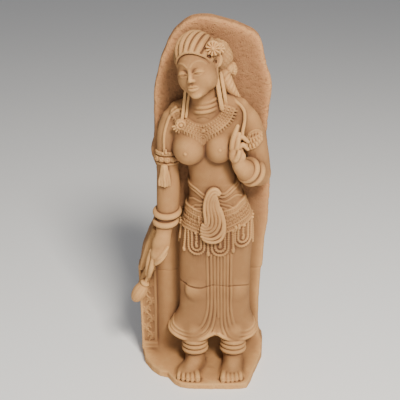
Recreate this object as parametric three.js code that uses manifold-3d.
// A terracotta relief of a standing goddess: the figure, the slab behind it and the
// rock-like foot are one solid, pressed in a mould and fired.
// Millimetres, +X to the viewer's right, -Y towards the viewer, +Z up.
// The origin is on the underside, at the middle of the foot.

import * as THREE from "three";
import { LoftGeometry } from "three/addons/geometries/LoftGeometry.js";
import { mergeVertices } from "three/addons/utils/BufferGeometryUtils.js";
import Module from "manifold-3d";

const wasm = await Module();
wasm.setup();

// Driving dimensions
const HEIGHT = 360;
const DEPTH = 84;
const SLAB_THICKNESS = 20;
const BACK_Y = DEPTH / 2;
const FACE_Y = BACK_Y - SLAB_THICKNESS;
const TERRACOTTA = { color: 0xb98259, roughness: 0.85, metalness: 0 };

// How far a form's hidden side is sunk into the slab
const ROOT = 3;

// Every form is placed by x, its distance out from the slab's face, and z.
const place = (x, out, z) => new THREE.Vector3(x, FACE_Y - out, z);

// A closed geometry as a solid, with its shared vertices merged.
function solid(geometry) {
  const bare = geometry.index ? geometry.toNonIndexed() : geometry.clone();
  bare.deleteAttribute("normal");
  bare.deleteAttribute("uv");
  const merged = mergeVertices(bare, 1e-3);
  const vertProperties = merged.attributes.position.array;
  const triVerts = new Uint32Array(merged.index.array);
  return new wasm.Manifold(new wasm.Mesh({ numProp: 3, vertProperties, triVerts }));
}

const loft = (sections) => solid(new LoftGeometry(sections, { capStart: true, capEnd: true }));

// The values between the rows of a table; each row starts with its height.
function between(rows) {
  return (height) => {
    const low = rows[0][0];
    const high = rows[rows.length - 1][0];
    const z = Math.min(Math.max(height, low), high);
    const i = Math.max(rows.findIndex((row) => row[0] >= z), 1);
    const share = (z - rows[i - 1][0]) / (rows[i][0] - rows[i - 1][0]);
    return rows[i].map((value, k) => THREE.MathUtils.lerp(rows[i - 1][k], value, share));
  };
}

// A body with a rounded-box section at each height: rows of z, left, right and front.
// frontAt gives the distance out of its front at any x and z.
function column(rows, sides, squareness) {
  const sections = rows.map(([z, left, right, front]) =>
    Array.from({ length: sides }, (_, k) => {
      const angle = (2 * Math.PI * k) / sides;
      const wave = [Math.cos(angle), Math.sin(angle)].map(
        (c) => Math.sign(c) * Math.abs(c) ** (2 / squareness),
      );
      const x = (left + right) / 2 + (wave[0] * (right - left)) / 2;
      return place(x, (front - ROOT) / 2 - (wave[1] * (front + ROOT)) / 2, z);
    }),
  );
  const row = between(rows);
  const frontAt = (x, z) => {
    const [, left, right, front] = row(z);
    const across = Math.min(Math.abs((2 * x - left - right) / (right - left)), 1);
    const bulge = (1 - across ** squareness) ** (1 / squareness);
    return (front - ROOT) / 2 + (bulge * (front + ROOT)) / 2;
  };
  return { body: loft(sections), frontAt };
}

// How far a strip's underside is sunk, and a strip with a raised border at both edges
const STRIP_ROOT = 6;
const BORDERED = [[-0.04, 1.2], [0.06, 2], [0.18, 0.6], [0.82, 0.6], [0.94, 2], [1.04, 1.2]];

// A limb, finger, fold or cord with rounded ends: stations of x, out, z and radius.
// depth is the section's size towards the viewer against its size across. A rooted
// limb's back is drawn in until it meets the slab.
const END_ROUND = 0.7;
const END_SHARE = 0.55;

function limb(stations, { sides = 6, steps = stations.length - 1, depth = 1, rooted = false } = {}) {
  const path = new THREE.CatmullRomCurve3(stations.map(([x, out, z]) => place(x, out, z)));
  const widthAt = between(stations.map((station, i) => [i, station[3]]));
  const ring = (centre, tangent, radius) => {
    const across = new THREE.Vector3(0, 1, 0).cross(tangent).normalize();
    const inward = tangent.clone().cross(across);
    return Array.from({ length: sides }, (_, k) => {
      const angle = (2 * Math.PI * (k + 0.5)) / sides;
      const behind = rooted && Math.sin(angle) > 0;
      const reach = behind ? FACE_Y + ROOT - centre.y : radius * depth;
      return centre
        .clone()
        .addScaledVector(across, radius * Math.cos(angle))
        .addScaledVector(inward, reach * Math.sin(angle));
    });
  };
  const sections = [];
  for (let i = 0; i <= steps; i += 1) {
    const centre = path.getPoint(i / steps);
    const tangent = path.getTangent(i / steps);
    const radius = widthAt((i / steps) * (stations.length - 1))[1];
    const end = (way) =>
      ring(centre.clone().addScaledVector(tangent, way * END_ROUND * radius), tangent, END_SHARE * radius);
    if (i === 0) sections.push(end(-1));
    sections.push(ring(centre, tangent, radius));
    if (i === steps) sections.push(end(1));
  }
  return loft(sections);
}

// An ellipsoid with half sizes across, out and up, turned about X, Y and Z in degrees.
function mound([x, out, z], [across, outward, up], { turn = [0, 0, 0], sides = 10 } = {}) {
  const angles = turn.map(THREE.MathUtils.degToRad);
  const geometry = new THREE.SphereGeometry(1, sides, Math.ceil(sides * 0.6))
    .rotateX(Math.PI / 2)
    .scale(across, outward, up)
    .applyMatrix4(new THREE.Matrix4().makeRotationFromEuler(new THREE.Euler(...angles)));
  return solid(geometry.translate(...place(x, out, z).toArray()));
}

// The stations of an upright limb with rings round it: each ring has its middle z, its
// width and how far it stands up.
function ringed(stations, rings) {
  const at = between(stations.map(([x, out, z, radius]) => [z, x, out, radius]).sort((a, b) => a[0] - b[0]));
  const steps = rings.flatMap(({ z, width, rise }) =>
    [[-0.5, 0], [-0.3, rise], [0.3, rise], [0.5, 0]].map(([share, lift]) => {
      const height = z + share * width;
      const [, x, out, radius] = at(height);
      return [x, out, height, radius + lift];
    }),
  );
  const clear = stations.filter((station) =>
    rings.every(({ z, width }) => Math.abs(station[2] - z) > width / 2),
  );
  return [...clear, ...steps].sort((a, b) => b[2] - a[2]);
}

// A ball whose surface swells into flutes round its upright axis, which is then turned.
function fluted(centre, half, { flutes, depth, rows, turn }) {
  const geometry = new THREE.SphereGeometry(1, 2 * flutes, rows).rotateX(Math.PI / 2);
  const corners = geometry.attributes.position;
  const corner = new THREE.Vector3();
  for (let i = 0; i < corners.count; i += 1) {
    corner.fromBufferAttribute(corners, i);
    const phase = flutes * Math.atan2(corner.y, corner.x);
    const level = Math.hypot(corner.x, corner.y);
    corner.multiplyScalar(1 - (depth / half[0]) * level * (0.5 + 0.5 * Math.cos(phase)));
    corners.setXYZ(i, corner.x, corner.y, corner.z);
  }
  const angles = turn.map(THREE.MathUtils.degToRad);
  geometry
    .scale(...half)
    .applyMatrix4(new THREE.Matrix4().makeRotationFromEuler(new THREE.Euler(...angles)));
  return solid(geometry.translate(...place(...centre).toArray()));
}

// An outline of x and z, raised from the slab to a distance out.
function plate(outline, out) {
  const shape = new THREE.Shape(outline.map(([x, z]) => new THREE.Vector2(x, z)));
  const geometry = new THREE.ExtrudeGeometry(shape, { depth: out + ROOT, bevelEnabled: false });
  return solid(geometry.rotateX(Math.PI / 2).translate(0, FACE_Y + ROOT, 0));
}

// A strip laid on a surface: two edges of x and z pairs, and a profile of pairs of a share
// of the way from the first edge to the second and a lift above the surface. The first
// edge is the upper one of a strip that runs to the right, or the right one of a strip
// that runs down.
function strip(first, second, profile, surfaceAt) {
  const inner = [profile[0], profile[profile.length - 1]].map(([share]) => [share, -STRIP_ROOT]);
  const section = [inner[0], ...profile, inner[1]];
  return loft(
    first.map(([x, z], i) =>
      section.map(([share, lift]) => {
        const px = THREE.MathUtils.lerp(x, second[i][0], share);
        const pz = THREE.MathUtils.lerp(z, second[i][1], share);
        return place(px, surfaceAt(px, pz) + lift, pz);
      }),
    ),
  );
}

// A strip's profile of rounded pleats, side by side.
function pleated(count, height, groove) {
  const profile = [[0, groove]];
  for (let k = 0; k < count; k += 1) {
    profile.push([(k + 0.5) / count, height], [(k + 1) / count, groove]);
  }
  return profile;
}

// The slab: a stele with an uneven rounded top and worn, rounded edges.
const SLAB_BOTTOM = 2;
const SLAB_EDGE_ROUND = 4;
const SLAB_STEPS = 36;
const SLAB_OUTLINE = [
  [-64, SLAB_BOTTOM], [-65, 30], [-65.5, 64], [-67, 100], [-61, 130], [-51, 154], [-46.5, 180],
  [-46, 210], [-51.3, 231], [-48, 245], [-47.5, 281], [-44, 305], [-38, 328], [-28, 346],
  [-16, 356.5], [-1, HEIGHT], [14, 358], [33, 352], [47, 345.5], [54, 333], [58.5, 314],
  [63, 299], [62.5, 281], [60.5, 256], [63, 226], [65, 195], [64, 162], [61, 134],
  [58.3, 102], [58.3, 60], [58, 40], [61.5, 15], [64, SLAB_BOTTOM],
];

function slab() {
  const rim = new THREE.SplineCurve(SLAB_OUTLINE.map(([x, z]) => new THREE.Vector2(x, z)));
  const geometry = new THREE.ExtrudeGeometry(new THREE.Shape(rim.getPoints(SLAB_STEPS)), {
    depth: SLAB_THICKNESS - 2 * SLAB_EDGE_ROUND,
    bevelSize: SLAB_EDGE_ROUND,
    bevelThickness: SLAB_EDGE_ROUND,
    bevelOffset: -SLAB_EDGE_ROUND,
    bevelSegments: 2,
  });
  return solid(geometry.rotateX(Math.PI / 2).translate(0, BACK_Y - SLAB_EDGE_ROUND, 0));
}

// The foot: a low rock with broken corners. Its outline of x and y shrinks, layer by
// layer, in a hollow curve up to the slab.
const FOOT_OUTLINE = [
  [-64, BACK_Y], [-64, 19], [-61, 3], [-54, -10], [-45, -19], [-37, -22], [-29, -34],
  [-24, -39], [6, -BACK_Y], [36, -BACK_Y], [43.5, -39], [48, -29], [57, 1], [62.5, 16],
  [64, 29], [64, BACK_Y],
];
const FOOT_LAYERS = [
  { z: 0, across: 1, deep: 1 },
  { z: 5, across: 1, deep: 1 },
  { z: 7, across: 0.97, deep: 0.965 },
  { z: 10, across: 0.94, deep: 0.55 },
  { z: 14, across: 0.9, deep: 0.34 },
  { z: 23, across: 0.84, deep: 0.23 },
];

function foot() {
  return loft(
    FOOT_LAYERS.map(({ z, across, deep }) =>
      FOOT_OUTLINE.map(([x, y]) => new THREE.Vector3(x * across, BACK_Y - (BACK_Y - y) * deep, z)),
    ),
  );
}

// The carved strip at the slab's left edge with its ledge, and the broken strip above it.
function leftEdge() {
  return [
    plate([[-63.5, 14], [-49.5, 14], [-49, 106], [-64, 106]], 2.5),
    plate([[-63.5, 9], [-48.5, 9], [-48.5, 16], [-63.5, 14]], 4.5),
    limb([[-62, 3, 108, 4.5], [-60.5, 3.5, 128, 4.8], [-54.5, 2.5, 150, 4]], { rooted: true }),
  ];
}

// How many sides the body's sections have, and how square they are: 2 is an ellipse
const BODY_SIDES = 18;
const SKIRT_SQUARENESS = 2.3;
const TORSO_SQUARENESS = 2.4;

// The hips and skirt, flared at the hem and parted by a joint line all round.
const JOINT_Z = 101;
const SKIRT_ROWS = [
  [36, -34, 52.5, 35], [41, -35.5, 53.5, 35.5], [48, -33.4, 53.2, 34.8], [55, -28.4, 51, 33.4],
  [64, -25.3, 48, 32.4],
  [JOINT_Z - 1.5, -24.4, 46.7, 32.2], [JOINT_Z, -23.4, 45.7, 31.2], [JOINT_Z + 1.5, -24.4, 46.7, 32.2],
  [143, -23.8, 47.8, 34], [157, -22.6, 47.7, 34.5], [172, -19.2, 45.6, 34], [190, -15, 40, 32],
  [206, -13, 32, 29.5],
];

// The gap between the hem's two lobes, cut out of the skirt's lower edge
const HEM_ARCH = { centre: [9, 32, 34], half: [10, 20, 8.5] };

// The waist, chest and shoulders, in the same columns.
const TORSO_ROWS = [
  [198, -12.5, 34, 28.5], [209, -13.7, 30.5, 29.2], [221, -15.5, 26.5, 29], [232, -19.5, 25.5, 30],
  [242, -25, 28.5, 31.5], [252, -30, 34, 32], [262, -33, 39, 31.5], [269, -32.5, 40, 30],
  [276, -26, 37.5, 27], [287, -11, 27, 20],
];
const BREASTS = [
  { centre: [-14, 25.5, 244.5], half: [16, 18.5, 18], turn: [-14, 0, 0] },
  { centre: [14, 25.5, 246], half: [15, 18.5, 17.5], turn: [-14, 0, 0] },
];

// The legs below the hem, their ankle rings, and the feet with five toes each.
const LEGS = [
  { ankle: -8.2, toes: [-25, -20.6, -16.2, -11.8, -6.6] },
  { ankle: 31.5, toes: [19.8, 25, 29.2, 33.2, 37] },
];
const SOLE_Z = 4;
const TOE_HALF = 2.6;
const TOE_EDGE = 0.4;
// Sections of a foot from heel to toes: out, share of the way to the toes, half width, top, toe height.
const FOOT_SECTIONS = [
  [13, 0, 7, 14, 0], [22, 0, 9.6, 21, 0], [36, 0.25, 10.2, 22, 0], [46, 0.7, 10.8, 15.5, 0.2],
  [53, 1, 11.4, 11.2, 2], [58.5, 1, 11.4, 9, 3],
];

function footWithToes(ankle, toes) {
  const middle = (toes[0] + toes[4]) / 2;
  const toeSpan = toes[4] - toes[0] + 2 * TOE_HALF;
  const grooves = toes.slice(1).map((x, k) => [(x + toes[k]) / 2, 1]);
  const edges = [[toes[0] - TOE_HALF, TOE_EDGE], [toes[4] + TOE_HALF, TOE_EDGE]];
  const profile = [...toes.map((x) => [x, 0]), ...grooves, ...edges].sort((a, b) => b[0] - a[0]);
  return loft(
    FOOT_SECTIONS.map(([out, share, half, top, toeHeight]) => {
      const centre = THREE.MathUtils.lerp(ankle, middle, share);
      const over = profile.map(([x, groove]) => {
        const across = (2 * (x - middle)) / toeSpan;
        const shoulder = 1 - 0.45 * across ** 4;
        const z = SOLE_Z + (top - SOLE_Z) * shoulder - toeHeight * groove;
        return place(centre + across * half, out - toeHeight * groove, z);
      });
      const under = [-half, half].map((across) => place(centre + across, out - toeHeight, SOLE_Z));
      return [...over, ...under];
    }),
  );
}

const ANKLETS = [{ z: 33.4, width: 6, rise: 3.2 }, { z: 27.2, width: 6, rise: 3.2 }];

function leg({ ankle, toes }) {
  const shin = [[ankle, 25, 44, 11], [ankle, 26, 28, 10], [ankle, 26, 13, 9.8]];
  return [limb(ringed(shin, ANKLETS), { sides: 10, rooted: true }), footWithToes(ankle, toes)];
}

// The arm that hangs at the viewer's left, its bangles, and the hand with the lotus stem.
const HANGING_ARM = [
  [-29, 14, 266, 10], [-34.2, 15, 252, 10.2], [-34.6, 15, 234, 9.8], [-34.3, 16, 214, 10.7],
  [-34.4, 17, 196, 11], [-35.6, 20, 178, 10.2], [-38.6, 25, 160, 8],
];
const HANGING_ARM_RINGS = [
  { z: 232, width: 15, rise: 1.8 }, { z: 177.5, width: 7, rise: 2.4 }, { z: 169.8, width: 7, rise: 2.6 },
];

function hangingArm() {
  return [
    limb(ringed(HANGING_ARM, HANGING_ARM_RINGS), { sides: 9, rooted: true }),
    mound([-34.6, 24.5, 236], [6.2, 3.4, 8], { sides: 8 }),
    limb([[-39, 27, 158, 8], [-42, 28, 146, 8.6], [-45, 29, 132, 6]], { depth: 0.7, rooted: true }),
    limb([[-46, 26, 133, 5], [-52, 22, 116, 4.5], [-59, 16, 98, 4]], { rooted: true, depth: 0.6 }),
    limb([[-48, 29, 134, 3], [-50, 29.5, 121, 2.9], [-51.6, 28, 111, 2.3]], { sides: 4, depth: 1.4 }),
    limb([[-44.5, 31, 131, 2.6], [-46.6, 31, 120, 2.4], [-47.8, 28, 112, 2]], { sides: 4, depth: 1.6 }),
    limb([[-44.5, 33, 129, 2.2], [-39, 36, 136, 2.1], [-34.6, 34.5, 143, 1.7]], { sides: 4 }),
    limb([[-45, 33, 127, 2.2], [-41, 37, 129.6, 2.2], [-37.4, 35, 135, 1.8]], { sides: 4 }),
    limb([[-58, 16, 98, 4.2], [-61, 17, 93.5, 7], [-64.6, 17, 87.5, 8.2], [-68.4, 15, 80.5, 4.6]], {
      sides: 7, rooted: true,
    }),
  ];
}

// The arm at the viewer's right: shoulder, elbow, and the forearm raised to the shoulder.
const RAISED_ARM = [
  [32, 12, 274, 11], [42, 13, 264, 11.4], [47.5, 13.5, 248, 11.4], [50.8, 14, 230, 11], [53, 14.5, 214, 10.6],
];
const FOREARM = [[54, 15, 212.5, 10.8], [46, 24, 218.5, 12.2], [37, 32, 226, 10], [30, 38, 234, 7.2]];
const ARMLET = [{ z: 252.5, width: 13, rise: 1.6 }];
const FOREARM_RINGS = [{ z: 219.4, width: 3.4, rise: 1.8 }, { z: 215.6, width: 3.4, rise: 1.8 }];

function raisedArm() {
  return [
    limb(ringed(RAISED_ARM, ARMLET), { sides: 10, rooted: true }),
    limb(ringed(FOREARM, FOREARM_RINGS), { sides: 10 }),
    mound([31, 38, 244], [8, 6.6, 11.5], { turn: [0, 8, 0], sides: 8 }),
    mound([31.5, 42.5, 238.5], [5.6, 4.4, 5.4], { sides: 7 }),
    limb([[25.4, 41, 248, 3], [26, 43.5, 259, 2.6], [30.4, 42.5, 269, 1.9]], { sides: 4, steps: 3 }),
    limb([[30.4, 42.5, 250, 2.8], [31.4, 45.5, 259, 2.4], [33.6, 43.5, 266.5, 1.9]], { sides: 4 }),
    limb([[35.6, 39.5, 247, 2.6], [38.6, 42, 253, 2.4], [36.6, 43, 259, 1.9]], { sides: 4 }),
    limb([[37, 37.5, 242, 2.4], [41.2, 38.5, 247, 2.3], [40, 40, 253, 1.8]], { sides: 4 }),
  ];
}

// The head, turned to the viewer's left and leaning a little, on a neck with two rings.
const HEAD = { centre: [-6.2, 29.5, 320.5], half: [17.6, 20.5, 25], turn: [4, -9, -27] };
const HEAD_TURN = new THREE.Matrix4().makeRotationFromEuler(
  new THREE.Euler(...HEAD.turn.map(THREE.MathUtils.degToRad)),
);

const NECK = [[-1, 18, 276, 13.8], [-3, 20, 291, 13], [-5, 22, 306, 13.6]];
const NECK_RINGS = [{ z: 283.4, width: 4.4, rise: 1.8 }, { z: 288.4, width: 4.4, rise: 1.8 }];

// A point given across, outward and up in the head's own frame.
function onHead(across, outward, up) {
  const [x, out, z] = HEAD.centre;
  const point = new THREE.Vector3(across, -outward, up).applyMatrix4(HEAD_TURN);
  return [x + point.x, out - point.y, z + point.z];
}

function head() {
  const { centre, half, turn } = HEAD;
  return [
    limb(ringed(NECK, NECK_RINGS), { sides: 10, depth: 1.15, rooted: true }),
    mound(centre, half, { turn, sides: 12 }),
    mound(onHead(0, 5.5, -15), [12.6, 13, 12.5], { turn, sides: 10 }),
    limb([[...onHead(0, 18.6, 3), 1.7], [...onHead(0, 21, -7), 2.7]], { sides: 5 }),
    mound(onHead(0, 17.4, -14.2), [5, 2.6, 2.2], { turn, sides: 8 }),
    ...[-7.2, 7.2].map((across) => mound(onHead(across, 17, 0.5), [4.4, 2.4, 2.2], { turn, sides: 6 })),
  ];
}

// Hair combed back over a fluted cap, with side locks, a knot, and a flower of petals.
const CAP = { flutes: 16, depth: 2.6, rows: 7, turn: HEAD.turn };
const FLOWER = { flutes: 7, depth: 1.8, rows: 4, turn: [90, 0, 18] };

function hair() {
  return [
    fluted(onHead(0, -7, 9), [20.4, 24.4, 22.6], CAP),
    fluted([9.5, 30, 339], [7.6, 7.6, 5], FLOWER),
    mound([0, 10, 318], [20, 13, 28], { sides: 8 }),
    mound([15, 13, 319], [12, 15, 20], { turn: [0, 12, 0], sides: 8 }),
    mound([27.5, 8, 312], [6.6, 10, 8], { sides: 8 }),
    limb([[20, 10, 312, 7], [21, 11, 300, 6.4], [25, 11, 290, 5]], { rooted: true }),
  ];
}

// The long ear at the viewer's right, and the pendants hung from both ears.
function earAndPendants() {
  return [
    limb([[11.5, 24, 329, 2], [14.4, 22, 326, 2.2], [13.4, 23, 319, 2.2], [12.4, 25, 309, 2]], { sides: 4 }),
    limb([[12, 23, 310, 2], [13.2, 27, 296, 2], [16.2, 30, 280, 2]], { sides: 4, depth: 1.6 }),
    limb([[15, 20, 309, 2], [17.8, 23, 296, 2], [20.4, 27, 282, 2]], { sides: 4, depth: 1.8 }),
    limb([[-18, 24, 297, 2], [-18.4, 26, 286, 2], [-19.4, 29, 274, 2]], { sides: 4, depth: 2 }),
    limb([[-13.4, 25, 297, 2], [-13.8, 27, 286, 2], [-14.4, 30, 279, 2]], { sides: 4, depth: 2 }),
  ];
}

// The collar with its point, the round pendant on it, and the cord on each side.
const COLLAR_INNER = [
  [-22, 280], [-15.5, 275], [-8, 271], [-1, 269.5], [7.5, 272], [13.5, 278], [18, 285],
];
const COLLAR_OUTER = [
  [-29, 276], [-20, 264.5], [-8.5, 259.5], [-1, 254.5], [9.5, 261], [21, 269.5], [29, 277.5],
];

const CORD_LEFT = [[-24, 21, 279, 1.8], [-33, 23.5, 271, 1.8], [-38, 24.5, 252, 1.8], [-37, 26, 228, 1.8]];
const TASSEL = [[-36.6, 25, 227, 3], [-36.6, 26, 216, 4.4], [-36.8, 25.5, 206, 4.6]];
const CORD_RIGHT = [
  [27, 13, 290, 2], [35, 20, 283, 2], [39, 23.5, 275, 2], [38.4, 30, 266, 2], [34, 40, 258, 2],
];

function collarAndCord(chestAt) {
  return [
    strip(COLLAR_INNER, COLLAR_OUTER, BORDERED, chestAt),
    mound([-20.9, 30, 266.6], [6.6, 5, 6.6], { sides: 8 }),
    limb(CORD_LEFT, { sides: 4 }),
    limb(TASSEL, { depth: 0.8 }),
    limb(CORD_RIGHT, { sides: 4, depth: 1.3 }),
  ];
}

// The waist sash: a hanging loop of pleats that curls to the left, and folds wrapped round.
const LOOP_RIGHT = [
  [11, 207], [16, 201], [17, 191], [18.8, 178], [18, 166], [13.6, 157.5], [6.5, 153.5], [0, 156.5],
  [-3, 162.5],
];
const LOOP_LEFT = [
  [8.5, 205.5], [3.2, 200], [1.8, 191], [0.4, 183], [-0.6, 179], [-1.4, 177], [-2, 175.5], [-2.6, 174],
  [-3, 172],
];
const LOOP_PLEATS = pleated(6, 7, 4.6);
const WRAP_RADIUS = 1.7;
const WRAPS = [
  [[-12, 204], [-4, 199], [5, 195]], [[-13, 193], [-4, 191], [4, 190]],
  [[15, 199], [24, 201], [30, 205]], [[16, 195], [28, 196.5], [36, 198]],
];

function sash(skirtAt) {
  const onSkirt = ([x, z]) => [x, skirtAt(x, z), z, WRAP_RADIUS];
  return [
    strip(LOOP_RIGHT, LOOP_LEFT, LOOP_PLEATS, skirtAt),
    ...WRAPS.map((line) => limb(line.map(onSkirt), { sides: 4 })),
  ];
}

// The jewelled girdle: a low band between two raised borders, with bead swags and drops.
const GIRDLE_TOP = [
  [-16.5, 187], [-8.5, 184.5], [1, 182.5], [17, 182.5], [29.5, 185.5], [38, 189], [42, 192],
];
const GIRDLE_LOW = [
  [-21.5, 164.5], [-13.5, 162.8], [-4, 161.5], [20, 163.2], [34.5, 166], [42, 168], [46, 170],
];
const STRING_RADIUS = 1.5;
const DROP = { length: 5, radius: 2.3 };
const SWAGS = [
  { x: -7, top: 163, half: 7, bottom: 139 },
  { x: 15.5, top: 163, half: 7.4, bottom: 138 },
  { x: 36.2, top: 167, half: 6.4, bottom: 144 },
];
const DROPS = [
  { x: -19.4, top: 164, bottom: 141 }, { x: 4.2, top: 162, bottom: 138 },
  { x: 26.4, top: 165, bottom: 142 }, { x: 44.6, top: 169, bottom: 142 },
];

function girdle(skirtAt) {
  const onSkirt = ([x, z, radius = STRING_RADIUS]) => [x, skirtAt(x, z), z, radius];
  const swags = SWAGS.map(({ x, top, half, bottom }) => {
    const bend = bottom + half;
    const route = [[x - half, top], [x - half, bend], [x, bottom], [x + half, bend], [x + half, top]];
    return limb(route.map(onSkirt), { sides: 4, steps: 5 });
  });
  const drops = DROPS.map(({ x, top, bottom }) => {
    const route = [[x, top], [x, bottom + DROP.length], [x, bottom, DROP.radius]];
    return limb(route.map(onSkirt), { sides: 4 });
  });
  return [strip(GIRDLE_TOP, GIRDLE_LOW, BORDERED, skirtAt), ...swags, ...drops];
}

// The skirt's front folds: two groups that fall straight and then sweep out along the hem.
const FOLDS_LEFT = [
  [[12.4, 134], [12.4, 92], [11.6, 66], [7, 51], [-2, 43], [-16, 40], [-32, 45]],
  [[4, 134], [4, 92], [2, 69], [-3, 58], [-10, 51.5], [-19, 50], [-29, 54]],
];
const FOLDS_RIGHT = [
  [[21, 134], [21, 92], [22.4, 70], [26, 58], [32, 51.5], [40, 50], [49, 54]],
  [[12.8, 134], [12.8, 92], [13.2, 66], [16.5, 51], [24, 42.5], [37, 39], [51.4, 44]],
];

const FOLD_PLEATS = pleated(3, 1.8, 0.4);

function folds(skirtAt) {
  return [FOLDS_LEFT, FOLDS_RIGHT].map(([right, left]) => strip(right, left, FOLD_PLEATS, skirtAt));
}

function statue() {
  const skirt = column(SKIRT_ROWS, BODY_SIDES, SKIRT_SQUARENESS);
  const hemArch = mound(HEM_ARCH.centre, HEM_ARCH.half);
  const torso = column(TORSO_ROWS, BODY_SIDES, TORSO_SQUARENESS);
  const chestAt = (x, z) => {
    const swells = BREASTS.map(({ centre, half }) => {
      const left = 1 - ((x - centre[0]) / half[0]) ** 2 - ((z - centre[2]) / half[2]) ** 2;
      return left > 0 ? centre[1] + half[1] * Math.sqrt(left) : 0;
    });
    return Math.max(torso.frontAt(x, z), ...swells);
  };
  const parts = [
    slab(), foot(), ...leftEdge(), skirt.body.subtract(hemArch), torso.body,
    ...BREASTS.map(({ centre, half, turn }) => mound(centre, half, { turn, sides: 12 })),
    ...LEGS.flatMap(leg), ...hangingArm(), ...raisedArm(), ...head(), ...hair(), ...earAndPendants(),
    ...collarAndCord(chestAt), ...sash(skirt.frontAt), ...girdle(skirt.frontAt),
    ...folds(skirt.frontAt),
  ];
  return parts.reduce((whole, part) => whole.add(part));
}

// The finished solid as a mesh.
function meshOf(whole) {
  const { vertProperties, triVerts } = whole.getMesh();
  const geometry = new THREE.BufferGeometry()
    .setAttribute("position", new THREE.BufferAttribute(vertProperties, 3))
    .setIndex(new THREE.BufferAttribute(triVerts, 1));
  const mesh = new THREE.Mesh(geometry, new THREE.MeshStandardMaterial(TERRACOTTA));
  mesh.name = "goddess_statue";
  return mesh;
}

const goddess = new THREE.Group();
goddess.add(meshOf(statue()));
export default goddess;
